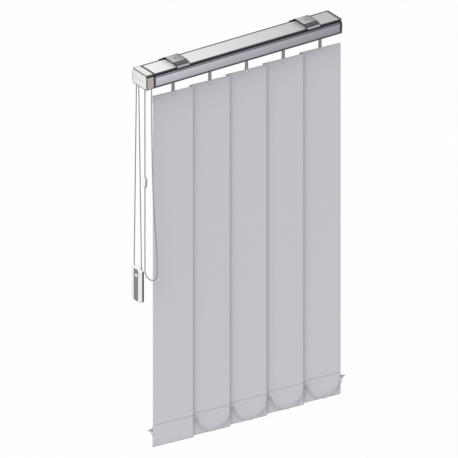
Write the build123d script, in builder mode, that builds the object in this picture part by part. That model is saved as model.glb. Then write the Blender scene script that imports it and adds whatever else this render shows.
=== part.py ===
from build123d import *
import os
from math import cos, pi, radians, sin, tan

# Vertical blind with five fabric slats under a ceiling-mounted headrail.
# X runs along the rail with the controls at -X, -Y faces the room, +Z is up.
# The origin lies on the ceiling plane, midway between the two ceiling screws.

# Headrail, an aluminium extrusion
rail_length = 429.0
rail_height = 31.0
rail_width = 49.0
rail_wall = 1.4
lip_width = 46.5
lip_thickness = 1.6
groove_depth = 3.25
groove_height = 3.6
shoulder_width = 47.2
foot_width = 46.4
foot_chamfer = 1.5
slot_width = 14.0

# Ceiling clips, bent from spring steel
clip_rise = 7.5
clip_sheet = 1.0
clip_width = 31.0
clip_spacing = 300.0
clip_bend = 0.6
clip_nose = 2.6
clip_side_gap = 0.35
clip_seat_gap = 0.05
clip_heel_height = 1.2
clip_tab_width = 45.0
ceiling_hole_radius = 2.25

# End caps, moulded
control_cap_length = 18.0
return_cap_length = 3.0
cap_wall = 1.8
cap_edge_radius = 0.7
spigot_length = 5.0
spigot_wall = 1.1
spigot_root = 1.5
spigot_clearance = 0.15
cap_recess_width = 26.0
cap_recess_height = 11.0
cap_recess_depth = 0.5
cap_recess_drop = 10.5

# Tilt rod and its bearings
rod_radius = 3.0
rod_offset = -8.0
rod_drop = 15.5
rod_flute_radius = 0.7
rod_flutes = 3
rod_seat_clearance = 0.05
journal_clearance = 0.08
journal_radius = 2.4
journal_boss_radius = 5.0
journal_reach = 3.7
running_gap = 0.35
bearing_wall = 2.0
bearing_length = 7.0

# Chain drive
bead_radius = 1.6
bead_pitch = 4.3
sprocket_pockets = 16
sprocket_width = 6.0
sprocket_rim = 0.9
sprocket_from_end = 14.3
groove_clearance = 0.15
pocket_clearance = 0.35
hub_radius = 5.0
hub_length = 8.0
hub_web = 2.0
chain_hole_radius = 2.4

# Traverse cord and its pulleys
cord_radius = 1.0
cord_near_y = 11.0
cord_far_y = 19.0
cord_drop = 11.0
cord_from_end = 5.7
cord_hole_radius = 1.9
guide_pulley_radius = 5.0
guide_pulley_width = 3.6
pulley_rim = 0.8
pulley_groove_radius = 1.15
pulley_pin_radius = 1.5
pin_boss_radius = 3.0
partition_wall = 1.6
return_pulley_inset = 6.2

# Carriers
slat_count = 5
first_slat_inset = 59.0
last_slat_inset = 32.0
carrier_length = 30.0
carrier_front = 19.5
carrier_back = 16.3
carrier_corner = 1.5
carrier_floor = 3.0
shoulder_drop = 8.0
crown_half = 12.0
crown_gap = 1.5
glide_gap = 0.2
keel_half = 6.3
keel_gap = 0.3
chamber_clearance = 0.4
cord_guide_clearance = 0.5

# Spacer links, thin strips stacked one above the other
link_width = 6.0
link_thickness = 0.5
link_step = 0.9
link_gap = 0.25
link_overrun = 3.0
link_roof = 1.0
link_rivet_inset = 4.0
link_rivet_radius = 1.0

# Stems
shaft_radius = 3.0
flange_radius = 4.8
flange_thickness = 2.0
pinion_radius = 4.3
pinion_length = 8.0
pinion_teeth = 10
pinion_notch_radius = 0.7
blade_neck = 4.8
blade_width = 7.2
blade_thickness = 2.6
blade_neck_drop = 1.0
fork_rise = 0.8
eyelet_radius = 2.1

# Slats, with a pocket at each end, and the pieces inside the pockets
slat_width = 89.0
slat_length = 736.0
slat_drop = 29.0
rest_tilt = 4.5
fabric = 0.35
pocket_gap = 1.0
top_pocket = 17.0
foot_pocket = 46.0
seam_height = 3.0
notch_radius = 4.5
insert_clearance = 0.1
hanger_width = 62.0
hanger_height = 13.0
hanger_corner = 3.0
button_drop = 3.7
weight_height = 40.0
weight_inset = 0.6
ear_length = 10.0
ear_height = 36.0
ear_rise = 4.2
ear_fall = 5.5
ear_tip = 1.4
ear_tip_fall = 0.6
ear_waist = 1.9
ear_hole_radius = 1.0
ear_hole_reach = 5.5

# Linking chains at the foot of the slats
link_chain_radius = 1.2
link_chain_ball = 1.7
link_chain_sag = 34.6
link_chain_side = 1.8

# Cord weight
case_width = 29.4
case_length = 72.0
case_depth = 9.0
case_wall = 1.3
case_corner = 6.0
case_edge_radius = 1.0
case_drop = 415.0
case_shift = -0.8
case_pulley_radius = 12.0
case_pulley_width = 4.4
case_pulley_drop = 16.5
case_pin_radius = 2.0
case_pin_overlap = 3.1
panel_width = 14.7
panel_height = 66.0
panel_depth = 0.5
panel_corner = 3.0
button_radius = 2.6
strand_slot_depth = 6.5
cord_lead = 12.0

# Chain connector
connector_radius = 5.0
connector_length = 22.0
connector_drop = 236.0
connector_lip = 0.6
chain_end_gap = 1.0

# Levels and places that follow from the sizes above
rail_top = -clip_rise
rail_bottom = rail_top - rail_height
flange_top = rail_bottom + rail_wall
control_end = -rail_length / 2 - control_cap_length
cap_inside = control_end + cap_wall
rod_z = rail_top - rod_drop
cord_z = rail_top - cord_drop
slat_pitch = (rail_length - first_slat_inset - last_slat_inset) / (slat_count - 1)
slat_x = [-rail_length / 2 + first_slat_inset + i * slat_pitch for i in range(slat_count)]
slat_top = rail_bottom - slat_drop
slat_bottom = slat_top - slat_length
button_z = slat_top - button_drop
ear_z = slat_bottom + ear_height
ear_hole_u = slat_width / 2 + ear_hole_reach
plate_thickness = pocket_gap - 2 * insert_clearance
sprocket_x = control_end + sprocket_from_end
sprocket_radius = sprocket_pockets * bead_pitch / (2 * pi)
chain_front_y = rod_offset - sprocket_radius
chain_back_y = rod_offset + sprocket_radius
connector_z = rail_top - connector_drop
cord_x = control_end + cord_from_end
guide_x = cord_x + guide_pulley_radius
guide_z = cord_z - guide_pulley_radius
return_radius = (cord_far_y - cord_near_y) / 2
return_x = rail_length / 2 - return_pulley_inset
cord_middle_y = (cord_near_y + cord_far_y) / 2
pin_bore = pulley_pin_radius + journal_clearance
partition_y = (chain_back_y + bead_radius + cord_near_y - guide_pulley_width / 2) / 2
far_boss_y = cord_far_y + guide_pulley_width / 2 + running_gap
pin_start_y = partition_y - partition_wall / 2
pin_end_y = rail_width / 2 - cap_wall
case_y = cord_middle_y + case_shift
case_top = rail_top - case_drop
case_middle = case_top - case_length / 2
case_pulley_z = case_top - case_pulley_drop

os.makedirs("parts", exist_ok=True)


def save(piece, name):
    piece.part.label = name
    export_step(piece.part, f"parts/{name}.step")


def across(x):
    """The plane of the rail's section at x."""
    return Plane.YZ.offset(x)


def facing_room(y):
    """The plane at y that faces the room, with X to the right and Z up."""
    return Plane.XZ.offset(-y)


def level(z):
    return Plane.XY.offset(z)


def rail_section():
    """The rail's outer outline, with Y across the sheet and Z up it."""
    under_lip = rail_top - lip_thickness
    shoulder = under_lip - groove_height
    inner = lip_width / 2 - groove_depth
    foot = rail_bottom + foot_chamfer
    with BuildSketch() as section:
        with BuildLine() as half:
            Polyline(
                (0, rail_top),
                (lip_width / 2, rail_top),
                (lip_width / 2, under_lip),
                (inner, under_lip),
                (inner, shoulder),
                (shoulder_width / 2, shoulder),
            )
            ThreePointArc(
                (shoulder_width / 2, shoulder),
                (rail_width / 2, (shoulder + rail_bottom) / 2),
                (foot_width / 2, foot),
            )
            Polyline((foot_width / 2, foot), (foot_width / 2 - foot_chamfer, rail_bottom), (0, rail_bottom))
            mirror(half.line, about=Plane.YZ)
        make_face()
    return section.sketch


def inside_of(wall):
    """The room that is left inside the rail's outline behind a wall."""
    with BuildSketch() as room:
        add(rail_section())
        offset(amount=-wall, kind=Kind.INTERSECTION, mode=Mode.REPLACE)
    return room.sketch


def spigot_ring():
    """The thin collar of an end cap that pushes into the rail."""
    outer_gap = rail_wall + spigot_clearance
    with BuildSketch() as ring:
        add(inside_of(outer_gap))
        add(inside_of(outer_gap + spigot_wall), mode=Mode.SUBTRACT)
        with Locations((0, rail_bottom)):
            Rectangle(slot_width, 4 * rail_wall, mode=Mode.SUBTRACT)
    return ring.sketch


# Headrail
with BuildPart() as headrail:
    with BuildSketch(across(-rail_length / 2)):
        add(rail_section())
        add(inside_of(rail_wall), mode=Mode.SUBTRACT)
        with Locations((0, rail_bottom)):
            Rectangle(slot_width, 4 * rail_wall, mode=Mode.SUBTRACT)
    extrude(amount=rail_length)
save(headrail, "headrail")


def ceiling_clip(x):
    """A spring strip that arches over the rail and hooks under both of its lips."""
    crown = rail_top + clip_rise - clip_sheet / 2
    hook_z = rail_top - lip_thickness - clip_seat_gap - clip_sheet / 2
    side = lip_width / 2 + clip_side_gap + clip_sheet / 2
    nose = rail_width / 2 + clip_nose
    hook_end = lip_width / 2 - groove_depth + clip_side_gap + clip_sheet / 2
    heel_z = rail_top + clip_heel_height
    with BuildPart() as clip:
        with BuildSketch(across(x)):
            with BuildLine():
                FilletPolyline(
                    (hook_end, hook_z),
                    (side, hook_z),
                    (side, heel_z),
                    (15.0, crown),
                    (-15.5, crown),
                    (-17.8, crown - 1.6),
                    (-20.4, crown - 1.2),
                    (-22.4, crown - 2.8),
                    (-nose + 1.5, crown - 3.6),
                    (-nose, crown - 6.0),
                    (-side, hook_z),
                    (-hook_end, hook_z),
                    radius=clip_bend,
                )
                offset(amount=clip_sheet / 2, side=Side.BOTH)
            make_face()
        extrude(amount=clip_width / 2, both=True)
        with BuildSketch(across(x)):
            with Locations((side, (heel_z + hook_z) / 2)):
                Rectangle(clip_sheet, heel_z - hook_z)
        extrude(amount=clip_tab_width / 2, both=True)
        with BuildSketch(level(rail_top + clip_rise)):
            with Locations((x, 0)):
                Circle(ceiling_hole_radius)
        extrude(amount=-2 * clip_sheet, mode=Mode.SUBTRACT)
    return clip


save(ceiling_clip(-clip_spacing / 2), "ceiling_clip_left")
save(ceiling_clip(clip_spacing / 2), "ceiling_clip_right")

# Control end cap, with the sprocket's journal and the bearings of the guide pulleys
with BuildPart() as control_cap:
    with BuildSketch(across(control_end)):
        add(rail_section())
    extrude(amount=control_cap_length)
    fillet(control_cap.faces().sort_by(Axis.X)[0].edges(), cap_edge_radius)
    with BuildSketch(across(cap_inside)):
        add(inside_of(cap_wall))
    extrude(amount=control_cap_length, mode=Mode.SUBTRACT)
    with BuildSketch(across(-rail_length / 2 - spigot_root)):
        add(spigot_ring())
    extrude(amount=spigot_root + spigot_length)
    with BuildSketch(across(cap_inside)):
        with Locations((rod_offset, rod_z)):
            Circle(journal_boss_radius)
    extrude(amount=sprocket_x - sprocket_width / 2 - running_gap - cap_inside)
    with BuildSketch(across(cap_inside)):
        with Locations((rod_offset, rod_z)):
            Circle(journal_radius)
    extrude(amount=sprocket_x - sprocket_width / 2 + journal_reach - cap_inside)
    with BuildSketch(across(cap_inside)):
        with Locations((partition_y, (rail_top + rail_bottom) / 2)):
            Rectangle(partition_wall, rail_height - cap_wall)
    extrude(amount=control_cap_length - cap_wall)
    with BuildSketch(facing_room(far_boss_y)):
        with Locations((guide_x, guide_z)):
            Circle(pin_boss_radius)
    extrude(amount=-(pin_end_y + cap_wall / 2 - far_boss_y))
    with BuildSketch(facing_room(pin_start_y)):
        with Locations((guide_x, guide_z)):
            Circle(pin_bore)
    extrude(amount=-(pin_end_y - pin_start_y), mode=Mode.SUBTRACT)
    with BuildSketch(level(rail_bottom)):
        with Locations((sprocket_x, chain_front_y), (sprocket_x, chain_back_y)):
            Circle(chain_hole_radius)
        with Locations((cord_x, cord_near_y), (cord_x, cord_far_y)):
            Circle(cord_hole_radius)
    extrude(amount=2 * cap_wall, mode=Mode.SUBTRACT)
    with BuildSketch(across(control_end)):
        with Locations((0, rail_top - cap_recess_drop)):
            RectangleRounded(cap_recess_width, cap_recess_height, cap_recess_height / 4)
    extrude(amount=cap_recess_depth, mode=Mode.SUBTRACT)
save(control_cap, "control_end_cap")

# Return end cap, with the rod's far bearing and the post of the return pulley
shelf_top = cord_z - guide_pulley_width / 2 - running_gap
shelf_half = return_radius + pulley_rim + running_gap
with BuildPart() as return_cap:
    with BuildSketch(across(rail_length / 2)):
        add(rail_section())
    extrude(amount=return_cap_length)
    fillet(return_cap.faces().sort_by(Axis.X)[-1].edges(), cap_edge_radius)
    with BuildSketch(across(rail_length / 2 - spigot_length)):
        add(spigot_ring())
    extrude(amount=spigot_length)
    with BuildSketch(across(rail_length / 2 - bearing_length)):
        with Locations((rod_offset, rod_z)):
            Circle(rod_radius + journal_clearance + bearing_wall)
    extrude(amount=bearing_length)
    with BuildSketch(across(rail_length / 2 - bearing_length)):
        with Locations((rod_offset, rod_z)):
            Circle(rod_radius + journal_clearance)
    extrude(amount=bearing_length, mode=Mode.SUBTRACT)
    with BuildSketch(level(shelf_top)):
        with Locations((return_x - shelf_half, cord_middle_y)):
            Rectangle(return_pulley_inset + shelf_half, 2 * shelf_half, align=(Align.MIN, Align.CENTER))
    extrude(amount=-bearing_wall)
    with BuildSketch(level(shelf_top)):
        with Locations((return_x, cord_middle_y)):
            Circle(pulley_pin_radius)
    extrude(amount=guide_pulley_width + 2 * running_gap)
save(return_cap, "return_end_cap")

# Tilt rod, a fluted extrusion that turns every stem at once
rod_start = sprocket_x + sprocket_width / 2 + hub_web
rod_end = rail_length / 2 - running_gap
with BuildPart() as tilt_rod:
    with BuildSketch(across(rod_start)):
        with Locations((rod_offset, rod_z)):
            Circle(rod_radius)
            with PolarLocations(rod_radius, rod_flutes, start_angle=90):
                Circle(rod_flute_radius, mode=Mode.SUBTRACT)
    extrude(amount=rod_end - rod_start)
save(tilt_rod, "tilt_rod")

# Chain sprocket, with a groove for the chain and a pocket for each bead
with BuildPart() as sprocket:
    with BuildSketch(across(sprocket_x)):
        with Locations((rod_offset, rod_z)):
            Circle(sprocket_radius + sprocket_rim)
    extrude(amount=sprocket_width / 2, both=True)
    with BuildSketch(across(sprocket_x)):
        with Locations((rod_offset, rod_z)):
            Circle(hub_radius)
    extrude(amount=sprocket_width / 2 + hub_length)
    with BuildSketch(facing_room(rod_offset)):
        with Locations((sprocket_x, rod_z + sprocket_radius)):
            Circle(bead_radius + groove_clearance)
        with Locations((sprocket_x, rod_z + sprocket_radius + sprocket_rim)):
            Rectangle(2 * (bead_radius + groove_clearance), 2 * sprocket_rim)
    revolve(axis=Axis((sprocket_x, rod_offset, rod_z), (1, 0, 0)), mode=Mode.SUBTRACT)
    with BuildSketch(across(sprocket_x)):
        with Locations((rod_offset, rod_z)):
            with PolarLocations(sprocket_radius, sprocket_pockets):
                Circle(bead_radius + pocket_clearance)
    extrude(amount=bead_radius + pocket_clearance, both=True, mode=Mode.SUBTRACT)
    with BuildSketch(across(sprocket_x - sprocket_width / 2)):
        with Locations((rod_offset, rod_z)):
            Circle(journal_radius + journal_clearance)
    extrude(amount=journal_reach + running_gap, mode=Mode.SUBTRACT)
    with BuildSketch(across(rod_start - rod_seat_clearance)):
        with Locations((rod_offset, rod_z)):
            Circle(rod_radius + rod_seat_clearance)
    extrude(amount=hub_length, mode=Mode.SUBTRACT)
save(sprocket, "chain_sprocket")


def pulley(middle, radius, width, bore):
    """A grooved wheel about the plane's own normal, whose cord lies at radius."""
    section = Plane(middle.origin, x_dir=middle.x_dir, z_dir=middle.y_dir)
    with BuildPart() as wheel:
        with BuildSketch(section):
            with Locations(((radius + pulley_rim + bore) / 2, 0)):
                Rectangle(radius + pulley_rim - bore, width)
            with Locations((radius, 0)):
                Circle(pulley_groove_radius, mode=Mode.SUBTRACT)
            with Locations((radius + pulley_rim, 0)):
                Rectangle(2 * pulley_rim, 2 * pulley_groove_radius, mode=Mode.SUBTRACT)
        revolve(axis=Axis(middle.origin, middle.z_dir))
    return wheel


def upright_at(x, y, z):
    """A plane at a point whose normal faces the room."""
    return Plane((x, y, z), x_dir=(1, 0, 0), z_dir=(0, -1, 0))


near_guide = upright_at(guide_x, cord_near_y, guide_z)
far_guide = upright_at(guide_x, cord_far_y, guide_z)
near_pulley = pulley(near_guide, guide_pulley_radius, guide_pulley_width, pin_bore)
far_pulley = pulley(far_guide, guide_pulley_radius, guide_pulley_width, pin_bore)
flat =Plane((return_x, cord_middle_y, cord_z))
save(near_pulley, "guide_pulley_near")
save(far_pulley, "guide_pulley_far")
save(pulley(flat, return_radius, guide_pulley_width, pin_bore), "return_pulley")

with BuildPart() as guide_pin:
    with BuildSketch(facing_room(pin_start_y)):
        with Locations((guide_x, guide_z)):
            Circle(pulley_pin_radius)
    extrude(amount=-(pin_end_y - pin_start_y - journal_clearance))
save(guide_pin, "guide_pulley_pin")

# Carriers, which slide on the rail's feet and hold a stem each
carrier_bottom = flange_top + glide_gap
floor_top = carrier_bottom + carrier_floor
crown_z = rail_top - rail_wall - crown_gap
shoulder_z = rail_top - shoulder_drop
window_top = crown_z - link_roof
link_stack = (slat_count - 2) * link_step + link_thickness
window_bottom = window_top - link_stack - 2 * link_gap
pinion_top = rod_z + pinion_length / 2
chamber_top = pinion_top + chamber_clearance


def carrier(x):
    """A moulded slider with bores for the rod, the cord, the stem and the spacer links."""
    with BuildPart() as slider:
        with BuildSketch(across(x)):
            with BuildLine():
                Polyline(
                    (-carrier_front, carrier_bottom),
                    (-carrier_front, shoulder_z),
                    (-crown_half, shoulder_z),
                    (-crown_half, crown_z),
                    (crown_half, crown_z),
                    (crown_half, shoulder_z),
                    (carrier_back, shoulder_z),
                    (carrier_back, carrier_bottom),
                    (keel_half, carrier_bottom),
                    (keel_half, rail_bottom + keel_gap),
                    (-keel_half, rail_bottom + keel_gap),
                    (-keel_half, carrier_bottom),
                    close=True,
                )
            make_face()
            with Locations((rod_offset, rod_z)):
                Circle(rod_radius + running_gap, mode=Mode.SUBTRACT)
            with Locations((cord_near_y, cord_z)):
                Circle(cord_radius + cord_guide_clearance, mode=Mode.SUBTRACT)
            with Locations((0, (window_top + window_bottom) / 2)):
                Rectangle(link_width + 2 * link_gap, window_top - window_bottom, mode=Mode.SUBTRACT)
        extrude(amount=carrier_length / 2, both=True)
        uprights = slider.edges().filter_by(Axis.Z).group_by(Axis.Y)
        fillet(uprights[0] + uprights[-1], carrier_corner)
        with BuildSketch(level(rail_bottom)):
            with Locations((x, 0)):
                Circle(shaft_radius + journal_clearance)
        extrude(amount=floor_top - rail_bottom, mode=Mode.SUBTRACT)
        with BuildSketch(level(floor_top)):
            with Locations((x, 0)):
                Circle(flange_radius + chamber_clearance)
        extrude(amount=chamber_top - floor_top, mode=Mode.SUBTRACT)
        with BuildSketch(level(crown_z)):
            with Locations((x - carrier_length / 2 + link_rivet_inset, 0)):
                Circle(link_rivet_radius + rod_seat_clearance)
        extrude(amount=-link_roof, mode=Mode.SUBTRACT)
    return slider


for i, x in enumerate(slat_x):
    save(carrier(x), f"carrier_{i + 1}")


def spacer_link(i):
    """A strip riveted to one carrier that slides through the next ones, each at its own height."""
    bottom = window_bottom + link_gap + i * link_step
    rivet_x = slat_x[i] - carrier_length / 2 + link_rivet_inset
    start = rivet_x - link_width / 2
    end = slat_x[i] + slat_pitch + carrier_length / 2 + link_overrun
    with BuildPart() as link:
        with BuildSketch(level(bottom)):
            with Locations(((start + end) / 2, 0)):
                SlotOverall(end - start, link_width)
        extrude(amount=link_thickness)
        with BuildSketch(level(bottom)):
            with Locations((rivet_x, 0)):
                Circle(link_rivet_radius)
        extrude(amount=crown_z - bottom)
    return link


for i in range(slat_count - 1):
    save(spacer_link(i), f"spacer_link_{i + 1}")

# Each slat hangs on the upright axis of its stem, turned by the rest tilt
tilt_cos = cos(radians(rest_tilt))
tilt_sin = sin(radians(rest_tilt))


def face_of(x):
    """The plane of a slat's broad face: across the slat, up, and out towards the room."""
    return Plane((x, 0, 0), x_dir=(tilt_cos, -tilt_sin, 0), z_dir=(-tilt_sin, -tilt_cos, 0))


def edge_of(x):
    """The plane of a slat's edge: through its thickness towards the room, and up."""
    return Plane((x, 0, 0), x_dir=(-tilt_sin, -tilt_cos, 0), z_dir=(-tilt_cos, tilt_sin, 0))


def stem(x):
    """Pinion, flange and shaft above, and below them a flared fork that grips the hanger."""
    blade_top = rail_bottom - blade_neck_drop
    with BuildPart() as shaft:
        with BuildSketch(level(floor_top + rod_seat_clearance)):
            with Locations((x, 0)):
                Circle(flange_radius)
        extrude(amount=flange_thickness)
        with BuildSketch(level(blade_top)):
            with Locations((x, 0)):
                Circle(shaft_radius)
        extrude(amount=pinion_top - blade_top)
        with BuildSketch(level(pinion_top)):
            with Locations((x, 0)):
                Circle(pinion_radius)
                with PolarLocations(pinion_radius, pinion_teeth):
                    Circle(pinion_notch_radius, mode=Mode.SUBTRACT)
        extrude(amount=-pinion_length)
        with BuildSketch(face_of(x)):
            with BuildLine():
                Polyline(
                    (-blade_neck / 2, blade_top),
                    (blade_neck / 2, blade_top),
                    (blade_width / 2, button_z),
                    (-blade_width / 2, button_z),
                    close=True,
                )
            make_face()
            with Locations((0, button_z)):
                Circle(blade_width / 2)
                Circle(eyelet_radius, mode=Mode.SUBTRACT)
        extrude(amount=blade_thickness / 2, both=True)
        with BuildSketch(edge_of(x)):
            with Locations((0, slat_top + fork_rise)):
                Rectangle(pocket_gap, button_drop + blade_width, align=(Align.CENTER, Align.MAX))
        extrude(amount=blade_width, both=True, mode=Mode.SUBTRACT)
    return shaft


def hanger(x):
    """The stiff insert of the top pocket, with the button that the stem's fork clips on."""
    middle = slat_top - fabric - insert_clearance - hanger_height / 2
    with BuildPart() as insert:
        with BuildSketch(face_of(x)):
            with Locations((0, middle)):
                RectangleRounded(hanger_width, hanger_height, hanger_corner)
            with Locations((-hanger_width / 4, middle), (hanger_width / 4, middle)):
                SlotOverall(hanger_width / 4, hanger_height / 4, mode=Mode.SUBTRACT)
        extrude(amount=plate_thickness / 2, both=True)
        with BuildSketch(face_of(x)):
            with Locations((0, button_z)):
                Circle(eyelet_radius - insert_clearance)
        extrude(amount=blade_thickness / 2, both=True)
    return insert


def slat(x):
    """One strip of fabric, folded and seamed into a pocket at its top and at its foot."""
    top_seam = slat_top - top_pocket
    foot_seam = slat_bottom + foot_pocket
    top_room = top_pocket - fabric
    foot_room = foot_pocket - fabric
    inner = pocket_gap / 2
    outer = inner + fabric
    with BuildPart() as strip:
        with BuildSketch(edge_of(x)):
            with BuildLine():
                Polyline(
                    (outer, slat_bottom),
                    (outer, slat_top),
                    (-outer, slat_top),
                    (-outer, top_seam),
                    (inner, top_seam - seam_height),
                    (inner, foot_seam + seam_height),
                    (-outer, foot_seam),
                    (-outer, slat_bottom),
                    close=True,
                )
            make_face()
            with Locations((0, slat_top - fabric)):
                Rectangle(pocket_gap, top_room, align=(Align.CENTER, Align.MAX), mode=Mode.SUBTRACT)
            with Locations((0, slat_bottom + fabric)):
                Rectangle(pocket_gap, foot_room, align=(Align.CENTER, Align.MIN), mode=Mode.SUBTRACT)
        extrude(amount=slat_width / 2, both=True)
        with BuildSketch(face_of(x)):
            with Locations((0, button_z)):
                Circle(notch_radius)
                Rectangle(2 * notch_radius, 2 * button_drop, align=(Align.CENTER, Align.MIN))
        extrude(amount=blade_thickness, both=True, mode=Mode.SUBTRACT)
    return strip


def weight(x):
    """The flat weight of the foot pocket, with a hooked ear at each end for the chains."""
    bottom = slat_bottom + fabric + insert_clearance
    root = slat_width / 2 - weight_inset
    tip = slat_width / 2 + ear_length
    with BuildPart() as plate:
        with BuildSketch(face_of(x)):
            with BuildLine():
                Polyline(
                    (root, ear_z - ear_fall),
                    (root, ear_z + ear_rise),
                    (tip, ear_z + ear_tip),
                    (tip, ear_z - ear_tip_fall),
                )
                ThreePointArc(
                    (tip, ear_z - ear_tip_fall),
                    (root + ear_length * 0.45, ear_z - ear_waist),
                    (root, ear_z - ear_fall),
                )
            make_face()
            mirror(about=Plane.YZ)
            with Locations((0, bottom)):
                Rectangle(2 * root, weight_height, align=(Align.CENTER, Align.MIN))
            with Locations((-ear_hole_u, ear_z), (ear_hole_u, ear_z)):
                Circle(ear_hole_radius, mode=Mode.SUBTRACT)
        extrude(amount=plate_thickness / 2, both=True)
    return plate


for i, x in enumerate(slat_x):
    save(stem(x), f"stem_{i + 1}")
    save(hanger(x), f"hanger_{i + 1}")
    save(slat(x), f"slat_{i + 1}")
    save(weight(x), f"weight_{i + 1}")


def bend_radii(points):
    """The largest round bend that fits at each inner point of a route."""
    radii = []
    for before, at, after in zip(points, points[1:], points[2:]):
        arriving = Vector(*at) - Vector(*before)
        leaving = Vector(*after) - Vector(*at)
        half_turn = radians(arriving.get_angle(leaving)) / 2
        radii.append(0.45 * min(arriving.length, leaving.length) / tan(half_turn))
    return radii


def tube(route, radius, name):
    """A round tube along a wire, printed with its volume over section times length."""
    with BuildPart() as cord:
        with BuildSketch(Plane(origin=route @ 0, z_dir=route % 0)):
            Circle(radius)
        sweep(path=route)
    share = cord.part.volume / (pi * radius**2 * route.length)
    print(name, round(route.length, 1), "mm long, volume over section times length", round(share, 4))
    return cord


# Chains that link the feet of neighbouring slats, one row in front and one behind
droop = [
    (0.0, 0.0),
    (0.05, 0.36),
    (0.15, 0.68),
    (0.3, 0.9),
    (0.5, 1.0),
    (0.7, 0.9),
    (0.85, 0.68),
    (0.95, 0.36),
    (1.0, 0.0),
]


def link_chain(i, side, name):
    """A short chain from one ear to the next; side is 1 for the front row and -1 for the rear."""
    stand_off = side * (plate_thickness / 2 + link_chain_ball + rod_seat_clearance)
    start_u = side * ear_hole_u + link_chain_side
    end_u = side * ear_hole_u - link_chain_side
    start = face_of(slat_x[i]).from_local_coords(Vector(start_u, ear_z, stand_off))
    end = face_of(slat_x[i + 1]).from_local_coords(Vector(end_u, ear_z, stand_off))
    points = []
    for along, down in droop:
        at = start + (end - start) * along
        points.append((at.X, at.Y, at.Z - down * link_chain_sag))
    with BuildLine() as route:
        FilletPolyline(*points, radius=bend_radii(points))
    chain = tube(route.wire(), link_chain_radius, name)
    with chain:
        with Locations(points[0], points[-1]):
            Sphere(link_chain_ball)
    save(chain, name)


for i in range(slat_count - 1):
    link_chain(i, 1, f"front_chain_{i + 1}")
    link_chain(i, -1, f"rear_chain_{i + 1}")

# Traverse cord inside the rail: over a guide pulley, round the return pulley and back
turn = guide_pulley_radius * (1 - cos(radians(45)))
with BuildLine() as rail_route:
    Line((cord_x, cord_near_y, rail_bottom), (cord_x, cord_near_y, guide_z))
    ThreePointArc(
        (cord_x, cord_near_y, guide_z),
        (cord_x + turn, cord_near_y, cord_z - turn),
        (guide_x, cord_near_y, cord_z),
    )
    Line((guide_x, cord_near_y, cord_z), (return_x, cord_near_y, cord_z))
    ThreePointArc(
        (return_x, cord_near_y, cord_z),
        (return_x + return_radius, cord_middle_y, cord_z),
        (return_x, cord_far_y, cord_z),
    )
    Line((return_x, cord_far_y, cord_z), (guide_x, cord_far_y, cord_z))
    ThreePointArc(
        (guide_x, cord_far_y, cord_z),
        (cord_x + turn, cord_far_y, cord_z - turn),
        (cord_x, cord_far_y, guide_z),
    )
    Line((cord_x, cord_far_y, guide_z), (cord_x, cord_far_y, rail_bottom))
save(tube(rail_route.wire(), cord_radius, "traverse_cord_in_rail"), "traverse_cord_in_rail")

# Traverse cord below the rail: a taut loop that carries the cord weight
case_near_y = case_y - case_pulley_radius
case_far_y = case_y + case_pulley_radius
near_strand = [
    (cord_x, cord_near_y, rail_bottom),
    (cord_x, cord_near_y, rail_bottom - cord_lead),
    (cord_x, case_near_y, case_top + cord_lead),
    (cord_x, case_near_y, case_pulley_z),
]
far_strand = [
    (cord_x, case_far_y, case_pulley_z),
    (cord_x, case_far_y, case_top + cord_lead),
    (cord_x, cord_far_y, rail_bottom - cord_lead),
    (cord_x, cord_far_y, rail_bottom),
]
with BuildLine() as loop_route:
    FilletPolyline(*near_strand, radius=bend_radii(near_strand))
    ThreePointArc(
        (cord_x, case_near_y, case_pulley_z),
        (cord_x, case_y, case_pulley_z - case_pulley_radius),
        (cord_x, case_far_y, case_pulley_z),
    )
    FilletPolyline(*far_strand, radius=bend_radii(far_strand))
print("cord loop radii", [round(r) for r in bend_radii(near_strand) + bend_radii(far_strand)])
save(tube(loop_route.wire(), cord_radius, "traverse_cord_loop"), "traverse_cord_loop")

# Tilt chain: from the connector down, round the free bottom loop, up the room side,
# over the sprocket and down again into the connector
free_points = [
    (sprocket_x, chain_back_y, connector_z - chain_end_gap),
    (-218.2, 2.95, -434.5),
    (-216.3, -5.1, -443.5),
    (-213.1, -18.6, -443.5),
    (-211.0, -27.0, -434.5),
    (-210.8, -27.2, -412.5),
    (-211.4, -26.6, -379.5),
    (-213.2, -24.6, -337.5),
    (-215.6, -22.6, -292.5),
    (-217.0, -21.2, -232.5),
    (-217.8, -19.9, -157.5),
    (sprocket_x, chain_front_y, -82.5),
    (sprocket_x, chain_front_y, rod_z),
]
with BuildLine() as chain_route:
    FilletPolyline(*free_points, radius=bend_radii(free_points))
    ThreePointArc(
        (sprocket_x, chain_front_y, rod_z),
        (sprocket_x, rod_offset, rod_z + sprocket_radius),
        (sprocket_x, chain_back_y, rod_z),
    )
    Line((sprocket_x, chain_back_y, rod_z), (sprocket_x, chain_back_y, connector_z + chain_end_gap))
print("tilt chain radii", [round(r, 1) for r in bend_radii(free_points)])
save(tube(chain_route.wire(), bead_radius, "tilt_chain"), "tilt_chain")

# Chain connector, an egg-shaped sleeve that joins the chain's two ends
sleeve_bore = bead_radius + groove_clearance
with BuildPart() as connector:
    with BuildSketch(Plane((sprocket_x, chain_back_y, connector_z), x_dir=(1, 0, 0), z_dir=(0, -1, 0))):
        with BuildLine():
            Polyline(
                (sleeve_bore + connector_lip, -connector_length / 2),
                (sleeve_bore, -connector_length / 2),
                (sleeve_bore, connector_length / 2),
                (sleeve_bore + connector_lip, connector_length / 2),
            )
            ThreePointArc(
                (sleeve_bore + connector_lip, connector_length / 2),
                (connector_radius, 0),
                (sleeve_bore + connector_lip, -connector_length / 2),
            )
        make_face()
    revolve(axis=Axis((sprocket_x, chain_back_y, connector_z), (0, 0, 1)))
save(connector, "chain_connector")


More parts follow.
